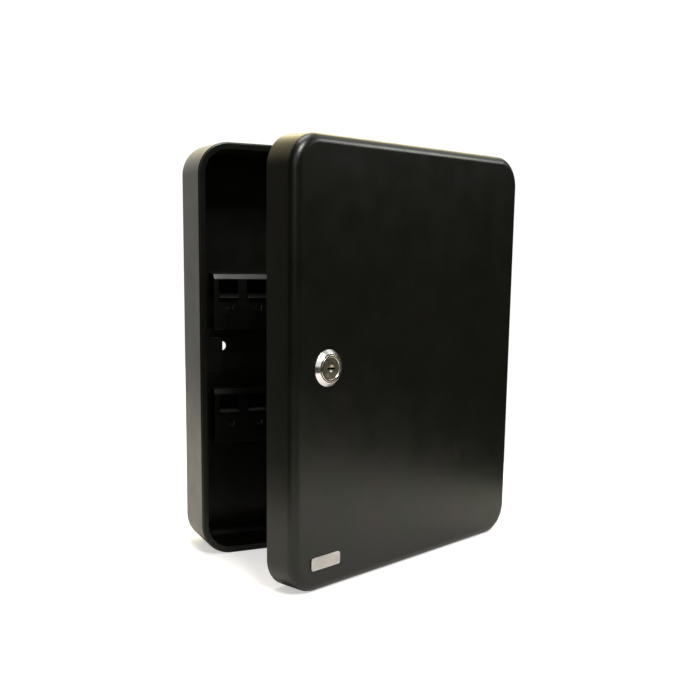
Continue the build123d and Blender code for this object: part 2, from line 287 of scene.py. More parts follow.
def two_colours(tree, value, first, second, low=0.35, high=0.65):
    """A colour ramp from one colour to another."""
    ramp = tree.nodes.new("ShaderNodeValToRGB")
    ramp.color_ramp.elements[0].position = low
    ramp.color_ramp.elements[0].color = (*first, 1)
    ramp.color_ramp.elements[1].position = high
    ramp.color_ramp.elements[1].color = (*second, 1)
    tree.links.new(value, ramp.inputs["Fac"])
    return ramp.outputs["Color"]


def bump(tree, shader, height, distance, strength=1.0, below=None):
    """A bump of a height in metres on the shader, over another bump's normal if one is given."""
    node = tree.nodes.new("ShaderNodeBump")
    node.inputs["Strength"].default_value = strength
    node.inputs["Distance"].default_value = distance
    tree.links.new(height, node.inputs["Height"])
    if below:
        tree.links.new(below, node.inputs["Normal"])
    tree.links.new(node.outputs["Normal"], shader.inputs["Normal"])
    return node.outputs["Normal"]


# %% [markdown]
# ### Black powder coat
# Powder coat is sprayed as dust and baked, so it flows into a fine orange peel: dimples of a millimetre
# or two on a satin film. Two noises make the bump, one for the peel and a finer one for the grain, and
# the grain also varies how strongly the film reflects. Slow noises, in patches of two to four
# centimetres, shift the black, the reflection's tint and the gloss, as film thickness does on sheet.

# %% Powder coat
def powder_coat(name, dark, light, gloss, peel):
    """A satin black film: dark and light are its colour's limits, gloss its roughness, peel its bump."""
    material, tree, shader, place = blank_material(name)
    patches = noise(tree, place, 24, 3)
    tree.links.new(two_colours(tree, patches, dark, light), shader.inputs["Base Color"])
    tree.links.new(two_colours(tree, patches, (0.86, 1.0, 0.84), (1.0, 0.95, 0.93)),
                   shader.inputs["Specular Tint"])
    tree.links.new(between(tree, noise(tree, place, 60, 3), gloss - 0.025, gloss + 0.03),
                   shader.inputs["Roughness"])
    grain = noise(tree, place, 1500, 2)
    tree.links.new(between(tree, grain, 0.42, 0.56), shader.inputs["Specular IOR Level"])
    fine = bump(tree, shader, grain, 0.00001)
    bump(tree, shader, noise(tree, place, 620, 1), peel, below=fine)
    return material


SATIN = 0.30
SHELL_BLACK = powder_coat("shell_powder_coat", (0.0030, 0.0031, 0.0021), (0.0042, 0.0042, 0.0030), SATIN,
                          0.000012)
FITTING_BLACK = powder_coat("fitting_powder_coat", (0.002, 0.002, 0.002), (0.0035, 0.0035, 0.0034), SATIN,
                            0.00001)

# %% [markdown]
# ### Chrome, nickel, zinc, brass and aluminium
# A metal's colour is its reflection, so the shader is fully metallic and the finish is in the
# roughness. The trim ring's chrome has been wiped and handled, so it is soft rather than a mirror. The
# lock's head has a warmer plating. Zinc, brass and the plate's aluminium are duller and cloudy.

# %% Metals
def metal(name, colour, worn_colour, rough, cloud=40, scratch=0.000004):
    """A plated metal with cloudy gloss and fine scratches."""
    material, tree, shader, place = blank_material(name)
    shader.inputs["Metallic"].default_value = 1.0
    clouds = noise(tree, place, cloud, 4)
    tree.links.new(two_colours(tree, clouds, colour, worn_colour), shader.inputs["Base Color"])
    tree.links.new(between(tree, clouds, rough * 0.7, rough * 1.3), shader.inputs["Roughness"])
    lines = noise(tree, place, 900, 3, stretch=(0.15, 1.0, 2.5))
    bump(tree, shader, lines, scratch)
    return material


CHROME = metal("lock_chrome", (0.88, 0.86, 0.84), (0.80, 0.78, 0.76), 0.25)
WARM_PLATING = metal("lock_head", (0.68, 0.62, 0.53), (0.60, 0.54, 0.46), 0.28)
ZINC = metal("bright_zinc", (0.66, 0.66, 0.64), (0.56, 0.55, 0.51), 0.28, 180, 0.000008)
BRASS = metal("wafer_brass", (0.74, 0.55, 0.26), (0.60, 0.43, 0.20), 0.30, 200)
PLATE = metal("satin_plate", (0.68, 0.66, 0.63), (0.58, 0.56, 0.53), 0.30, 60, 0.00001)

# %% [markdown]
# ### Turned nickel for the plug's face
# The plug is turned on a lathe, so its face has fine rings round its own axis. A Mapping node moves the
# coordinates to the lock and turns them with the door. A ring wave about that axis gives the tool marks.

# %% Turned nickel
def turned_nickel(name):
    """Brownish nickel with rings about the lock's axis."""
    material, tree, shader, place = blank_material(name)
    shader.inputs["Metallic"].default_value = 1.0
    centred = tree.nodes.new("ShaderNodeMapping")
    centred.vector_type = "TEXTURE"
    centred.inputs["Location"].default_value = SWING @ LOCK
    centred.inputs["Rotation"].default_value = (0, 0, AJAR)
    tree.links.new(place, centred.inputs["Vector"])
    rings = tree.nodes.new("ShaderNodeTexWave")
    rings.wave_type = "RINGS"
    rings.rings_direction = "Y"
    rings.inputs["Scale"].default_value = 700
    rings.inputs["Distortion"].default_value = 0.6
    tree.links.new(centred.outputs["Vector"], rings.inputs["Vector"])
    clouds = noise(tree, place, 260, 3)
    tree.links.new(two_colours(tree, clouds, (0.40, 0.36, 0.27), (0.54, 0.49, 0.39)),
                   shader.inputs["Base Color"])
    tree.links.new(between(tree, clouds, 0.26, 0.42), shader.inputs["Roughness"])
    bump(tree, shader, rings.outputs["Fac"], 0.000006)
    return material


NICKEL = turned_nickel("plug_nickel")

# %% [markdown]
# ### Foam tape
# The nameplate sticks on with thin foam tape, and only its edge can be seen: matte and pitted.

# %% Foam tape
FOAM, foam_tree, foam_shader, foam_place = blank_material("foam_tape")
pits = noise(foam_tree, foam_place, 2200, 3)
foam_tree.links.new(two_colours(foam_tree, pits, (0.01, 0.01, 0.01), (0.03, 0.03, 0.03)),
                    foam_shader.inputs["Base Color"])
foam_shader.inputs["Roughness"].default_value = 0.9
bump(foam_tree, foam_shader, pits, 0.00004)

# %% [markdown]
# ## The two trays
# Both trays are drawn from one sheet: a box with round corners, a soft bend round the closed side and an
# open mouth. A cube gives them all: bevel the four corner edges, bevel the closed side's outline,
# and delete the mouth's face. Solidify then gives the sheet its thickness on the inside.

# %% Tray helper
SHEET = 1.0 * MM
CORNER = 22.5 * MM
HAIR = 0.01 * MM
PLACES = ("upper", "lower")
NOTCH_REACH, NOTCH_RISE = 3.3 * MM, 20.8 * MM


def at_y(element, y):
    """Whether all of an element lies at one distance from the wall."""
    return all(abs(v.co.y - y) < HAIR for v in element.verts)


def tray(name, low, high, closed_y, bend):
    """A cube with round corners and a soft bend round its closed side, in edit mode."""
    obj = box(name, low, high)
    bpy.ops.object.mode_set(mode="EDIT")
    pick("EDGE", lambda e: runs_along(e, 1))
    bpy.ops.mesh.bevel(offset=CORNER, segments=20, affect="EDGES")
    pick("EDGE", lambda e: at_y(e, closed_y))
    bpy.ops.mesh.bevel(offset=bend, segments=10, affect="EDGES", clamp_overlap=False)
    return obj


def pin_height(place):
    """The mid-height of the upper or the lower hinge pin."""
    low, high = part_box("hinge_pin_" + place)
    return (low[2] + high[2]) / 2


def notch(obj):
    """Cut the slots in the right wall that let the knuckles of both hinges through."""
    for place in PLACES:
        z = pin_height(place)
        cutter = box("notch", (HINGE.x - NOTCH_REACH, HINGE.y - NOTCH_REACH, z - NOTCH_RISE),
                     (HINGE.x + NOTCH_REACH, HINGE.y + NOTCH_REACH, z + NOTCH_RISE))
        combine(obj, cutter, "DIFFERENCE")


# %% [markdown]
# ### The body tray
# The mouth of the body has a narrow flange turned in all round, which stiffens it. Insetting the front
# face by the flange's width leaves a ring, and deleting the middle opens the mouth. A bevel on the
# ring's outer edge is the flange's bend. The wall screws go through two holes in the back.

# %% Body tray
body_tray = tray("body_tray", BODY_LOW, BODY_HIGH, BODY_HIGH[1], 7 * MM)
front = BODY_LOW[1]
pick("FACE", lambda f: at_y(f, front))
bpy.ops.mesh.inset(thickness=5 * MM, depth=0, use_even_offset=True)
bpy.ops.mesh.delete(type="FACE")
pick("EDGE", lambda e: at_y(e, front) and len(e.link_faces) == 2
     and any(abs(f.normal.y) < 0.5 for f in e.link_faces))
bpy.ops.mesh.bevel(offset=1.4 * MM, segments=4, affect="EDGES", clamp_overlap=False)
bpy.ops.object.mode_set(mode="OBJECT")
apply_modifier(body_tray, "SOLIDIFY", thickness=SHEET, offset=-1, use_even_offset=True)
for side in (-1, 1):
    screw_hole = rod("screw_hole", 48, 3.5 * MM, 10 * MM, (side * 90 * MM, 0, 0))
    combine(body_tray, screw_hole, "DIFFERENCE")
notch(body_tray)
soften(body_tray, 0.22 * MM)
hand_over(body_tray, "body", ["body_shell"], SHELL_BLACK)

# %% [markdown]
# ### The door tray
# The door is a deeper-drawn lid with a bend of 6.5 mm all round its face. Its mouth stays a raw sheet
# edge. The lock's hole is a circle with two flats, which keeps the lock from turning in the sheet.

# %% Door tray
door_tray = tray("door_tray", DOOR_LOW, DOOR_HIGH, DOOR_LOW.y, 6.5 * MM)
pick("FACE", lambda f: at_y(f, DOOR_HIGH.y))
bpy.ops.mesh.delete(type="FACE")
bpy.ops.object.mode_set(mode="OBJECT")
apply_modifier(door_tray, "SOLIDIFY", thickness=SHEET, offset=-1, use_even_offset=True)
lock_hole = rod("lock_hole", 96, 8.6 * MM, 8 * MM, (LOCK.x, DOOR_LOW.y, LOCK.z))
flats = box("flats", (LOCK.x - 7.6 * MM, DOOR_LOW.y - 9 * MM, -20 * MM),
            (LOCK.x + 7.6 * MM, DOOR_LOW.y + 9 * MM, 20 * MM))
combine(lock_hole, flats, "INTERSECT")
combine(door_tray, lock_hole, "DIFFERENCE")
notch(door_tray)
soften(door_tray, 0.22 * MM)
hand_over(door_tray, "door", ["door_shell"], SHELL_BLACK)

# %% [markdown]
# ## Key rails
# Each rail is one strip folded back at the top, so that it stands off the back of the tray. A window is
# pierced above every hook for the key's number, and its flap is bent out as a sill. Pressed sheet is
# easiest to make as a press does it: cut flat, then folded. These helpers cut and fold.

# %% Rail helpers
HOOKS = [(column - 4) * 22.25 * MM for column in range(9)]
WEB = -16 * MM


def slice_at(place, normal):
    """In edit mode, cut through everything with a plane."""
    bpy.ops.mesh.select_all(action="SELECT")
    bpy.ops.mesh.bisect(plane_co=place, plane_no=normal)


def pull(kind, test, *moves):
    """Select elements and extrude them by one move after another."""
    pick(kind, test)
    for move in moves:
        bpy.ops.mesh.extrude_region_move(TRANSFORM_OT_translate={"value": [x * MM for x in move]})


def along_x_at(edge, y, z):
    """Whether an edge runs along X at a given place."""
    return runs_along(edge, 0) and all(
        abs(v.co.y - y) < HAIR and abs(v.co.z - z) < HAIR for v in edge.verts)


# %% [markdown]
# ### The flat strip
# The strip is a plane, sliced at each window's sides, top and bottom, and the windows' faces are then
# deleted. The windows end a little below the top fold, because a fold's bevel needs room beside it:
# where the two meet, the bevel runs over the window's edge and the mesh folds into itself.

# %% Pierced strip
def pierced_strip(name, bottom, sill, lintel, top):
    """A flat strip with nine windows between the heights of their sills and lintels, in edit mode."""
    rail = begin(name, bpy.ops.mesh.primitive_plane_add, stretch=(200 * MM, top - bottom, 1), size=1,
                 location=(0, WEB, (top + bottom) / 2), rotation=(math.pi / 2, 0, 0))
    bpy.ops.object.mode_set(mode="EDIT")
    for z in (sill, lintel):
        slice_at((0, 0, z), (0, 0, 1))
    for x in HOOKS:
        for edge_x in (x - 7.5 * MM, x + 7.5 * MM):
            slice_at((edge_x, 0, 0), (1, 0, 0))
    pick("FACE", lambda f: sill < middle(f).z < lintel
         and any(abs(middle(f).x - x) < 7 * MM for x in HOOKS))
    bpy.ops.mesh.delete(type="FACE")
    return rail


# %% [markdown]
# ### Folding
# The folds are edges extruded one after another: the top slopes back, runs to the wall and turns down
# it, the bottom turns back, and each window's lower edge runs out and down as the sill. Bevels give the
# folds their radius. The top front fold is shallow and close to the windows, so it gets a smaller one.

# %% Folded rail
FOLD_HEIGHT, FOLD_DEPTH = 4.38, 2.19


def key_rail(name, top):
    """A folded rail with nine windows and their sills; top is the height of its upper face."""
    bottom, sill = top - 42.5 * MM, top - 16.5 * MM
    web_top = top - FOLD_HEIGHT * MM
    rail = pierced_strip(name, bottom, sill, web_top - 0.7 * MM, web_top)
    pull("EDGE", lambda e: along_x_at(e, WEB, web_top), (0, FOLD_DEPTH, FOLD_HEIGHT), (0, 12.81, 0),
         (0, 0, -14))
    pull("EDGE", lambda e: along_x_at(e, WEB, bottom), (0, 10, 0))
    pull("EDGE", lambda e: along_x_at(e, WEB, sill) and len(e.link_faces) == 1, (0, -0.5, -0.2),
         (0, -1.7, -2.0))
    folds = [(WEB, bottom), (WEB + FOLD_DEPTH * MM, top), (-SHEET, top)]
    pick("EDGE", lambda e: any(along_x_at(e, y, z) for y, z in folds))
    bpy.ops.mesh.bevel(offset=1.1 * MM, segments=4, affect="EDGES", clamp_overlap=False)
    pick("EDGE", lambda e: along_x_at(e, WEB, web_top))
    bpy.ops.mesh.bevel(offset=0.5 * MM, segments=3, affect="EDGES", clamp_overlap=False)
    bpy.ops.object.mode_set(mode="OBJECT")
    apply_modifier(rail, "SOLIDIFY", thickness=SHEET, offset=-1, use_even_offset=True,
                   use_quality_normals=True)
    soften(rail, 0.15 * MM)
    return rail


# %% [markdown]
# ### Both rails
# The rails are the same pressing at two heights. The frame's box of each gives the height of its top.

# %% Key rails
RAIL_TOPS = {place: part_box("key_rail_" + place)[1][2] for place in PLACES}
for place, top in RAIL_TOPS.items():
    hand_over(key_rail("rail_" + place, top), "body", ["key_rail_" + place],
              FITTING_BLACK)

# %% [markdown]
# ## Hooks
# A hook is a piece of wire peened into the rail between two collars and turned up at its end. The wire is
# a disc extruded as the shank, spun about a point above its end, and extruded again as the tip, whose
# rim is bevelled. A spin runs against the right-hand rule, so +X here turns the wire up, and the first
# thing to check after a spin is which way it went.

# %% Hook wire
HOOK_TURN = math.radians(65)
HOOK_BEND = 3 * MM
SHANK_END = -23.8 * MM
TIP = 2.6 * MM


def hook_wire(name, z):
    """The bent wire of the first hook, with its shank at a height."""
    wire = begin(name, bpy.ops.mesh.primitive_circle_add, vertices=20, radius=1.1 * MM, fill_type="NGON",
                 location=(HOOKS[0], -14.2 * MM, z), rotation=(math.pi / 2, 0, 0))
    bpy.ops.object.mode_set(mode="EDIT")
    bpy.ops.mesh.select_all(action="SELECT")
    bpy.ops.mesh.extrude_region_move(TRANSFORM_OT_translate={"value": (0, -9.6 * MM, 0)})
    bpy.ops.mesh.spin(steps=8, angle=HOOK_TURN, center=(HOOKS[0], SHANK_END, z + HOOK_BEND),
                      axis=(1, 0, 0))
    tip = (0, -math.cos(HOOK_TURN) * TIP, math.sin(HOOK_TURN) * TIP)
    bpy.ops.mesh.extrude_region_move(TRANSFORM_OT_translate={"value": tip})
    end = [e.index for e in bmesh.from_edit_mesh(wire.data).edges if e.select]
    pick("EDGE", lambda e: e.index in end)
    bpy.ops.mesh.bevel(offset=0.6 * MM, segments=3, affect="EDGES")
    bpy.ops.mesh.select_all(action="SELECT")
    bpy.ops.mesh.normals_make_consistent(inside=False)
    bpy.ops.object.mode_set(mode="OBJECT")
    return wire


# %% [markdown]
# ### Collars and copies
# The collars are thin discs on the two faces of the rail. They are joined to the wire, and an Array
# modifier with a constant offset copies the one hook along the rail.

# %% Hooks
def key_hooks(name, z):
    """Nine hooks in a row with their shanks at a height, each with a collar on both faces of the rail."""
    wire = hook_wire(name, z)
    for y in (-14.6 * MM, -16.4 * MM):
        collar = rod("collar", 24, 2.2 * MM, 0.8 * MM, (HOOKS[0], y, z))
        apply_modifier(collar, "BEVEL", width=0.25 * MM, segments=2, limit_method="ANGLE",
                       angle_limit=CREASE)
        join(wire, collar)
    apply_modifier(wire, "ARRAY", count=len(HOOKS), use_relative_offset=False, use_constant_offset=True,
                   constant_offset_displace=(22.25 * MM, 0, 0))
    soften(wire)
    return wire


for place, top in RAIL_TOPS.items():
    hand_over(key_hooks("hooks_" + place, top - 27.5 * MM), "body", ["key_hooks_" + place],
              FITTING_BLACK)

# %% [markdown]
# ## Strike bracket
# The cam turns behind a small angle that is welded to the left wall. It is a plane whose left edge is
# extruded back along the wall. The fold and the free corners are bevelled before it is made solid.

# %% Strike bracket
strike_low, strike_high = (Vector(corner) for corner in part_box("strike_bracket"))
strike = begin("strike_angle", bpy.ops.mesh.primitive_plane_add,
               stretch=(strike_high.x - strike_low.x, strike_high.z - strike_low.z, 1), size=1,
               location=((strike_low.x + strike_high.x) / 2, strike_low.y,
                         (strike_low.z + strike_high.z) / 2), rotation=(math.pi / 2, 0, 0))
bpy.ops.object.mode_set(mode="EDIT")
corners = [v.index for v in bmesh.from_edit_mesh(strike.data).verts if v.co.x > strike_high.x - HAIR]
bpy.ops.mesh.select_mode(type="VERT")
bpy.ops.mesh.select_all(action="DESELECT")
sheet_mesh = bmesh.from_edit_mesh(strike.data)
sheet_mesh.verts.ensure_lookup_table()
for index in corners:
    sheet_mesh.verts[index].select_set(True)
bpy.ops.mesh.bevel(offset=2 * MM, segments=5, affect="VERTICES")
pull("EDGE", lambda e: runs_along(e, 2) and middle(e).x < strike_low.x + HAIR, (0, 20, 0))
pick("EDGE", lambda e: runs_along(e, 2) and len(e.link_faces) == 2)
bpy.ops.mesh.bevel(offset=1.6 * MM, segments=5, affect="EDGES")
bpy.ops.object.mode_set(mode="OBJECT")
apply_modifier(strike, "SOLIDIFY", thickness=SHEET, offset=-1, use_even_offset=True)
soften(strike, 0.15 * MM)
hand_over(strike, "body", ["strike_bracket"], FITTING_BLACK)

# %% [markdown]
# ## Hinges
# A hinge leaf is a strip with its tongues rolled round the pin. Here that is done as in the press: the
# tongue's edge is spun round the pin's axis, almost a full turn, so that a slit stays where it closes.
# The spin has to go on the way the tongue was heading. Turned the other way it folds back on itself.

# %% Hinge leaf
KNUCKLE = 2.5 * MM
LEAF_HEIGHT, LEAF_WIDTH, LEAF_MIDDLE = 40, 15.25, 10.875
TONGUE = 3.25


def hinge_leaf(name, side, z, tongues):
    """A leaf on the body for side 1 or the door for side -1; tongues are (low, high) heights in mm."""
    leaf = begin(name, bpy.ops.mesh.primitive_plane_add, stretch=(LEAF_HEIGHT * MM, LEAF_WIDTH * MM, 1),
                 size=1, location=(HINGE.x - KNUCKLE, HINGE.y + side * LEAF_MIDDLE * MM, z),
                 rotation=(0, -math.pi / 2, 0))
    bpy.ops.object.mode_set(mode="EDIT")
    for height in sorted(h for tongue in tongues for h in tongue if abs(h) < LEAF_HEIGHT / 2):
        slice_at((0, 0, z + height * MM), (0, 0, 1))
    near = HINGE.y + side * TONGUE * MM
    pull("EDGE", lambda e: runs_along(e, 2) and abs(middle(e).y - near) < HAIR
         and any(low * MM < middle(e).z - z < high * MM for low, high in tongues), (0, -side * TONGUE, 0))
    bpy.ops.mesh.spin(steps=26, angle=math.radians(322), center=HINGE, axis=(0, 0, -side))
    bpy.ops.object.mode_set(mode="OBJECT")
    apply_modifier(leaf, "SOLIDIFY", thickness=0.95 * MM, offset=-1, use_even_offset=True)
    soften(leaf, 0.12 * MM)
    return leaf


# %% [markdown]
# ### Four leaves
# The body's leaf has the two outer knuckles and the door's leaf has the middle one, with a gap of
# 0.3 mm between them, so that the hinge turns freely.

# %% Hinge leaves
LEAVES = {"body": (1, [(-20, -6.9), (6.9, 20)]), "door": (-1, [(-6.6, 6.6)])}
for place in PLACES:
    for body, (side, tongues) in LEAVES.items():
        hand_over(hinge_leaf(f"leaf_{body}_{place}", side, pin_height(place), tongues), body,
                  [f"hinge_{body}_leaf_{place}"], FITTING_BLACK)

# %% [markdown]
# ## Turned parts
# Pins, the lock and its screw are lathe work. A ring of edges is extruded and resized through a list of
# steps, each a radius and a height along the axis in millimetres. A tube's profile comes back to where
# it began and is merged there, and a solid part is capped at both ends.

# %% The lathe
def turned(name, steps, place, toward_room=True, vertices=72, tube=False):
    """Turn a profile of (radius, height) steps about an axis that points to the room, or up."""
    obj = begin(name, bpy.ops.mesh.primitive_circle_add, vertices=vertices, radius=steps[0][0] * MM,
                fill_type="NOTHING" if tube else "NGON", location=(0, 0, steps[0][1] * MM))
    bpy.ops.object.mode_set(mode="EDIT")
    bpy.ops.mesh.select_all(action="SELECT")
    if not tube:
        bpy.ops.mesh.select_mode(type="EDGE")
    for (radius, height), (next_radius, next_height) in zip(steps, steps[1:]):
        rise = (0, 0, (next_height - height) * MM)
        bpy.ops.mesh.extrude_edges_move(TRANSFORM_OT_translate={"value": rise})
        scale = next_radius / radius
        bpy.ops.transform.resize(value=(scale, scale, 1), center_override=(0, 0, next_height * MM))
    if not tube:
        bpy.ops.mesh.edge_face_add()
    bpy.ops.mesh.select_all(action="SELECT")
    bpy.ops.mesh.remove_doubles(threshold=0.001 * MM)
    bpy.ops.mesh.normals_make_consistent(inside=False)
    bpy.ops.object.mode_set(mode="OBJECT")
    tip_over = Matrix.Rotation(math.pi / 2, 4, "X") if toward_room else Matrix()
    obj.matrix_world = Matrix.Translation(place) @ tip_over
    place_in_mesh(obj)
    return obj


# %% [markdown]
# ### Hinge pins
# A pin's ends are peened over into low domes, which keep it in the knuckles.

# %% Hinge pins
def dome(radius, foot, rise, count=4):
    """Profile steps of a quarter round that goes from a radius inwards as it rises."""
    return [(radius - rise * (1 - math.cos(a)), foot + rise * math.sin(a))
            for a in (math.pi / 2 * i / count for i in range(1, count + 1))]


PIN_END = [(1.5, 20), (2.3, 20), (2.3, 20.32), *dome(2.3, 20.32, 0.48)]
PIN = [(radius, -height) for radius, height in reversed(PIN_END)] + PIN_END
for place in PLACES:
    pin = turned("pin_" + place, PIN, (HINGE.x, HINGE.y, pin_height(place)), toward_room=False,
                 vertices=32)
    soften(pin)
    hand_over(pin, "body", ["hinge_pin_" + place], ZINC)

# %% [markdown]
# ## The cam lock
# The lock is a plated housing that passes through the door. A chromed cone, the trim ring, sits under
# its head. Heights are measured out from the door's face, so parts behind the door are negative. What
# is cut square, such as flats and slots, is cut by a box about the lock's axis.

# %% Boxes on the lock's axis
DOOR_FACE = Vector((LOCK.x, DOOR_LOW.y, LOCK.z))


def lock_box(name, left, right, depth, low, high):
    """A box between distances in mm from the lock's axis; depth is (near, far) behind the door's face."""
    near, far = depth
    return box(name, (LOCK.x + left * MM, DOOR_FACE.y + near * MM, low * MM),
               (LOCK.x + right * MM, DOOR_FACE.y + far * MM, high * MM))


# %% [markdown]
# ### Trim ring
# The ring's cone is polished and has a narrow bright land at its front, so its profile keeps a small
# radius there. It stands on the door on a thin straight edge.

# %% Trim ring
RING = [(8.6, 0), (12.15, 0), (12.25, 0.1), (12.25, 0.5), (12.18, 0.66), (9.98, 2.8), (9.86, 2.93),
        (9.7, 3.0), (9.12, 3.0), (9.0, 2.9), (9.0, 1.0), (8.6, 1.0), (8.6, 0)]
trim_ring = turned("trim_ring", RING, DOOR_FACE, vertices=128, tube=True)
soften(trim_ring)
hand_over(trim_ring, "door", ["lock_trim_ring"], CHROME)

# %% [markdown]
# ### Housing
# The head has a rounded rim round a recess for the plug's flange. Its barrel is threaded for the nut:
# the profile goes up and down once for each millimetre of thread. Two flats are then milled on it.

# %% Housing
THREAD = []
for turn in range(27):
    THREAD += [(8.5, -1.4 - turn), (8.5, -1.6 - turn), (8.02, -1.95 - turn), (8.02, -2.05 - turn)]
HOUSING = [(5.7, -28.8), (5.7, 2.0), (7.15, 2.0), (7.15, 3.0), (7.45, 3.42), (7.6, 3.5), (8.45, 3.5),
           (8.68, 3.44), (8.84, 3.28), (8.9, 3.05), (8.9, 1.05), (8.5, 1.0), *THREAD, (8.3, -28.7),
           (8.1, -29.0), (5.9, -29.0), (5.7, -28.8)]
FLAT = 7.5
housing = turned("lock_body", HOUSING, DOOR_FACE, vertices=96, tube=True)
for left, right in ((-12, -FLAT), (FLAT, 12)):
    combine(housing, lock_box("flat", left, right, (-0.95, 40), -15, 15), "DIFFERENCE")

# %% [markdown]
# ### Stop ring
# A low ring at the barrel's end lacks a quarter and the width of a tongue. The stop washer's tongue runs
# in that gap and meets its ends, which limits the plug to a quarter turn.

# %% Stop ring
STOP = [(6.4, -29.0), (8.4, -29.0), (8.4, -29.9), (8.3, -30), (6.5, -30), (6.4, -29.9), (6.4, -29.0)]
stop_ring = turned("stop_ring", STOP, DOOR_FACE, vertices=96, tube=True)
combine(stop_ring, lock_box("gap", -2.2, 12, (20, 40), -2.2, 12), "DIFFERENCE")
combine(stop_ring, lock_box("barrel", -FLAT, FLAT, (20, 40), -12, 12), "INTERSECT")
join(housing, stop_ring)
soften(housing)
hand_over(housing, "door", ["lock_housing"], WARM_PLATING)

# %% [markdown]
# ### Plug
# The plug turns with the key. Its face has a round hollow that leads the key into a slot, and the two
# half-moons above and below the slot catch the light. A square at the back drives the cam.

# %% Plug
HOLLOW = [(2.45 * i / 6, 3.2 - 0.7 * (1 - (i / 6) ** 2)) for i in range(1, 7)]
PLUG = [*HOLLOW, (2.58, 3.2), (6.6, 3.2), (6.78, 3.15), (6.86, 3.02), (6.86, 2.05), (5.65, 2.05),
        (5.65, -28.9), (5.45, -29.1)]
plug = turned("lock_core", PLUG, DOOR_FACE, vertices=96)
combine(plug, lock_box("drive", -3.5, 3.5, (29.0, 32.1), -3.5, 3.5), "UNION")
screw_bore = rod("screw_bore", 32, 2.05 * MM, 8 * MM, (LOCK.x, DOOR_FACE.y + 28.2 * MM, 0))
combine(plug, screw_bore, "DIFFERENCE")

# %% [markdown]
# ### Keyway
# The slot is a box whose four long edges are rounded, cut into the plug from the front.

# %% Keyway
keyway = lock_box("keyway", -3.85, 3.85, (-5, 20.8), -0.65, 0.65)
bpy.ops.object.mode_set(mode="EDIT")
pick("EDGE", lambda e: runs_along(e, 1))
bpy.ops.mesh.bevel(offset=0.6 * MM, segments=5, affect="EDGES")
bpy.ops.object.mode_set(mode="OBJECT")
combine(plug, keyway, "DIFFERENCE")
soften(plug)
hand_over(plug, "plug", ["lock_plug"], NICKEL)

# %% [markdown]
# ### Nut
# A hexagon nut's corners are turned off at 30 degrees on both faces. A hexagonal prism is intersected
# with a turned disc that has those chamfers, and the threaded bore is cut last.

# %% Nut
def hexagon(name, across, back, front):
    """A hexagonal prism on the lock's axis, turned to its place, between two heights."""
    return begin(name, bpy.ops.mesh.primitive_cylinder_add, vertices=6, radius=across / math.sqrt(3) * MM,
                 depth=(front - back) * MM, location=DOOR_FACE - Vector((0, (front + back) / 2 * MM, 0)),
                 rotation=(math.pi / 2, math.pi / 6, 0))


nut = hexagon("lock_nut_hex", 22, -5, -1)
CHAMFERS = [(11.0, -1.0), (12.8, -2.0), (12.8, -4.0), (11.0, -5.0)]
BORE = [(8.55, 0), (8.55, -1.0), (9.1, -1.0), (8.55, -1.5), (8.55, -4.5), (9.1, -5.0), (9.1, -6.0)]
combine(nut, turned("chamfered", CHAMFERS, DOOR_FACE, vertices=96), "INTERSECT")
combine(nut, turned("bore", BORE, DOOR_FACE, vertices=96), "DIFFERENCE")
soften(nut, 0.1 * MM)
hand_over(nut, "door", ["lock_nut"], ZINC)

# %% [markdown]
# ### Stop washer and cam
# Both are stamped plates with a square hole that fits the plug's drive. A disc is united with a bar, the
# cam's tip corners are bevelled round, and a small bevel all over stands for the stamping's rolled edge.

# %% Stamped plates
def stamping(name, radius, bar, back, front, tip_radius=0.0):
    """A disc and a bar on the lock's axis with the drive's square hole; bar is (half width, low, high)."""
    half, low, high = bar
    disc = turned(name, [(radius, front), (radius, back)], DOOR_FACE)
    arm = lock_box("arm", -half, half, (-front, -back), low, high)
    if tip_radius:
        bpy.ops.object.mode_set(mode="EDIT")
        pick("EDGE", lambda e: runs_along(e, 1) and middle(e).z < low * MM + HAIR)
        bpy.ops.mesh.bevel(offset=tip_radius * MM, segments=10, affect="EDGES")
        bpy.ops.object.mode_set(mode="OBJECT")
    combine(disc, arm, "UNION")
    combine(disc, lock_box("square", -3.55, 3.55, (10, 60), -3.55, 3.55), "DIFFERENCE")
    soften(disc, 0.12 * MM)
    return disc


washer = stamping("stop_plate", 6.1, (2, 0, 7.4), -30.1, -29.1)
hand_over(washer, "plug", ["stop_washer"], ZINC)
cam = stamping("cam_arm", 8, (6, -22, 0), -32.1, -30.1, tip_radius=5)
hand_over(cam, "plug", ["lock_cam"], ZINC)

# %% [markdown]
# ### Screw and split washer
# A pan head screw with a cross recess holds the cam on, over a washer that is split so that it springs.

# %% Screw and split washer
WASHER = [(2.2, -32.1), (4.0, -32.1), (4.0, -32.9), (2.2, -32.9), (2.2, -32.1)]
spring_washer = turned("split_washer", WASHER, DOOR_FACE, vertices=64, tube=True)
combine(spring_washer, lock_box("split", 0, 6, (30, 36), -0.25, 0.25), "DIFFERENCE")
soften(spring_washer, 0.08 * MM)
hand_over(spring_washer, "plug", ["cam_lock_washer"], ZINC)

SCREW = [(1.6, -24.9), (2.0, -25.4), (2.0, -32.9), (3.7, -32.9), (3.8, -33.0), (3.8, -34.0), (3.68, -34.5),
         (3.35, -34.95), (2.8, -35.3), (2.3, -35.45), (1.4, -35.5)]
screw = turned("pan_screw", SCREW, DOOR_FACE, vertices=48)
for half_x, half_z in ((1.9, 0.45), (0.45, 1.9)):
    recess = lock_box("recess", -half_x, half_x, (34.2, 40), -half_z, half_z)
    combine(screw, recess, "DIFFERENCE")
soften(screw)
hand_over(screw, "plug", ["cam_screw"], ZINC)

# %% [markdown]
# ## Nameplate
# A blank satin plate with round corners sits low on the door. Its field is pressed in a little, which
# leaves a fine raised rim. Insetting the front face and moving the field back makes both at once.

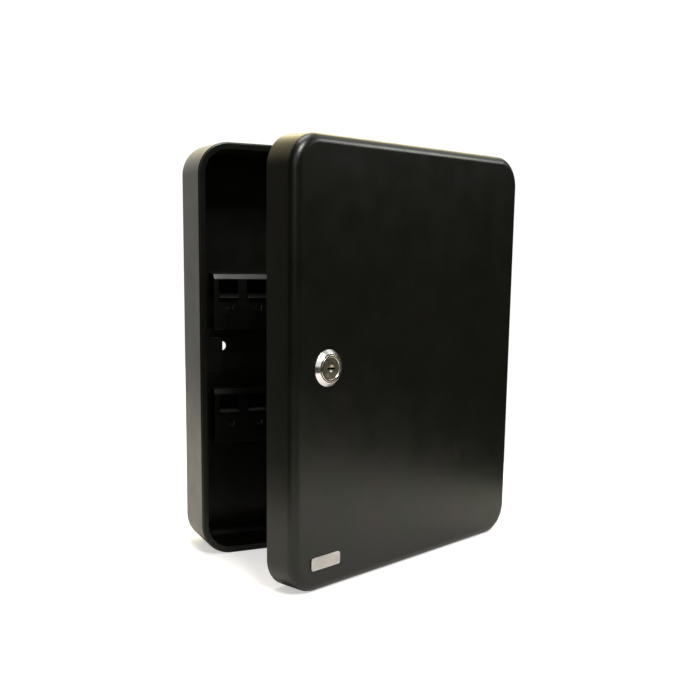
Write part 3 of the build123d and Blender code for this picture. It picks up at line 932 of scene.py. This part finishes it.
# %% Nameplate
plate_low, plate_high = shut_box("nameplate")
plate = box("blank_plate", plate_low, plate_high)
bpy.ops.object.mode_set(mode="EDIT")
pick("EDGE", lambda e: runs_along(e, 1))
bpy.ops.mesh.bevel(offset=2 * MM, segments=8, affect="EDGES")
pick("EDGE", lambda e: at_y(e, plate_low.y))
bpy.ops.mesh.bevel(offset=0.25 * MM, segments=3, affect="EDGES")
pick("FACE", lambda f: at_y(f, plate_low.y))
bpy.ops.mesh.inset(thickness=0.45 * MM, depth=0)
bpy.ops.mesh.inset(thickness=0.15 * MM, depth=-0.18 * MM)
bpy.ops.object.mode_set(mode="OBJECT")
soften(plate)
hand_over(plate, "door", ["nameplate"], PLATE)

# %% [markdown]
# ## Pieces kept from the frame
# The lock's wafers and springs and the tape under the nameplate have the right shape already, and hardly
# show. They keep their CAD meshes and only take a finish.

# %% Kept pieces
for node, material in (("lock_wafers", BRASS), ("wafer_springs", ZINC), ("nameplate_adhesive", FOAM)):
    for holder in frame["nodes"][node].material_slots:
        holder.material = material

# %% [markdown]
# ## Studio
# The cabinet stands on a narrow strip of pale paper. A satin black door mirrors whatever is near it at a
# low angle, so the strip's width decides how far up the face the grey reaches: a wide white floor would
# turn the whole door grey. A little glow that only the camera sees lifts the paper to white.

# %% Floor
floor = begin("studio_floor", bpy.ops.mesh.primitive_plane_add, stretch=(0.58, 1.5, 1), size=1,
              location=(-0.02, 0.3, BODY_LOW[2]))
paper, paper_tree, paper_shader, paper_place = blank_material("white_paper")
paper_tree.links.new(two_colours(paper_tree, noise(paper_tree, paper_place, 3, 2), (0.74, 0.70, 0.67),
                                 (0.77, 0.73, 0.70)), paper_shader.inputs["Base Color"])
paper_shader.inputs["Roughness"].default_value = 0.9
paper_shader.inputs["Emission Color"].default_value = (1, 1, 1, 1)
seen = paper_tree.nodes.new("ShaderNodeLightPath")
paper_tree.links.new(between(paper_tree, seen.outputs["Is Camera Ray"], 0, 0.50, 0, 1),
                     paper_shader.inputs["Emission Strength"])
floor.data.materials.append(paper)

# %% [markdown]
# ### World
# The world is bright behind the cabinet, like a lit paper wall, and dim in front of it, so that the black
# face stays dark and its sides, seen at a grazing angle, go grey. The wall is brightest halfway up, which
# draws the light line along the door's top edge. Camera rays see plain white, which gives the background.

# %% World
world = bpy.data.worlds.new("studio")
bpy.context.scene.world = world
world.use_nodes = True
air = world.node_tree
air.nodes.clear()
direction = air.nodes.new("ShaderNodeTexCoord")
split_axes = air.nodes.new("ShaderNodeSeparateXYZ")
air.links.new(direction.outputs["Generated"], split_axes.inputs["Vector"])
behind = between(air, split_axes.outputs["Y"], 0, 1, 0.40, 0.85)
sideways = between(air, split_axes.outputs["X"], 1.0, 2.3, -0.3, 0.35)
back_wall = air.nodes.new("ShaderNodeValToRGB")
back_wall.color_ramp.interpolation = "EASE"
for index, (height, colour) in enumerate([(0.05, (0.42, 0.40, 0.37)), (0.28, (0.75, 0.73, 0.62)),
                                          (0.5, (2.60, 2.25, 1.30)), (0.9, (0.80, 0.76, 0.66))]):
    stops = back_wall.color_ramp.elements
    stop = stops[index] if index < 2 else stops.new(height)
    stop.position, stop.color = height, (*colour, 1)
air.links.new(split_axes.outputs["Z"], back_wall.inputs["Fac"])
glow = air.nodes.new("ShaderNodeMath")
glow.operation = "MULTIPLY"
air.links.new(behind, glow.inputs[0])
air.links.new(sideways, glow.inputs[1])
bright = air.nodes.new("ShaderNodeBackground")
air.links.new(back_wall.outputs["Color"], bright.inputs["Color"])
air.links.new(glow.outputs["Value"], bright.inputs["Strength"])
dim = air.nodes.new("ShaderNodeBackground")
dim.inputs["Color"].default_value = (0.034, 0.035, 0.026, 1)
lit = air.nodes.new("ShaderNodeAddShader")
air.links.new(bright.outputs["Background"], lit.inputs[0])
air.links.new(dim.outputs["Background"], lit.inputs[1])
plain = air.nodes.new("ShaderNodeBackground")
plain.inputs["Color"].default_value = (1, 1, 1, 1)
plain.inputs["Strength"].default_value = 1.05
ray = air.nodes.new("ShaderNodeLightPath")
mix = air.nodes.new("ShaderNodeMixShader")
air.links.new(ray.outputs["Is Camera Ray"], mix.inputs["Fac"])
air.links.new(lit.outputs["Shader"], mix.inputs[1])
air.links.new(plain.outputs["Background"], mix.inputs[2])
air.links.new(mix.outputs["Shader"], air.nodes.new("ShaderNodeOutputWorld").inputs["Surface"])
bpy.context.scene.view_settings.view_transform = "Standard"

# %% [markdown]
# ## Lights
# A large soft light overhead and a smaller one in front light the paper and the top edges. A low panel at
# the left reaches the rails inside and lights the left half of the chrome. A panel and a small lamp at
# the right light the right side and the hollow in the plug. All are white: the world gives the tint.

# %% Lights
def softbox(name, place, aim, size, power):
    """A rectangular light of a size and a power, at a place and pointing at another."""
    bpy.ops.object.select_all(action="DESELECT")
    bpy.ops.object.light_add(type="AREA", location=place)
    light = bpy.context.object
    light.name = name
    light.rotation_euler = (Vector(aim) - Vector(place)).to_track_quat("-Z", "Y").to_euler()
    light.data.shape = "RECTANGLE"
    light.data.size, light.data.size_y = size
    light.data.energy = power


NEAR_LOCK = (-0.06, -0.15, 0)
softbox("overhead", (0, 0.22, 2.2), (0, 0.22, 0), (1.3, 1.3), 32)
softbox("front_key", (0, -1.4, 1.6), (0, -0.05, 0), (0.6, 0.6), 35)
softbox("left_panel", (-0.95, -1.7, 0.92), NEAR_LOCK, (1.3, 1.5), 5)
softbox("right_panel", (1.3, 0.1, 1.5), NEAR_LOCK, (1.3, 1.1), 4.5)
softbox("right_lamp", (1.5, -0.48, 0.85), NEAR_LOCK, (0.5, 0.5), 7)
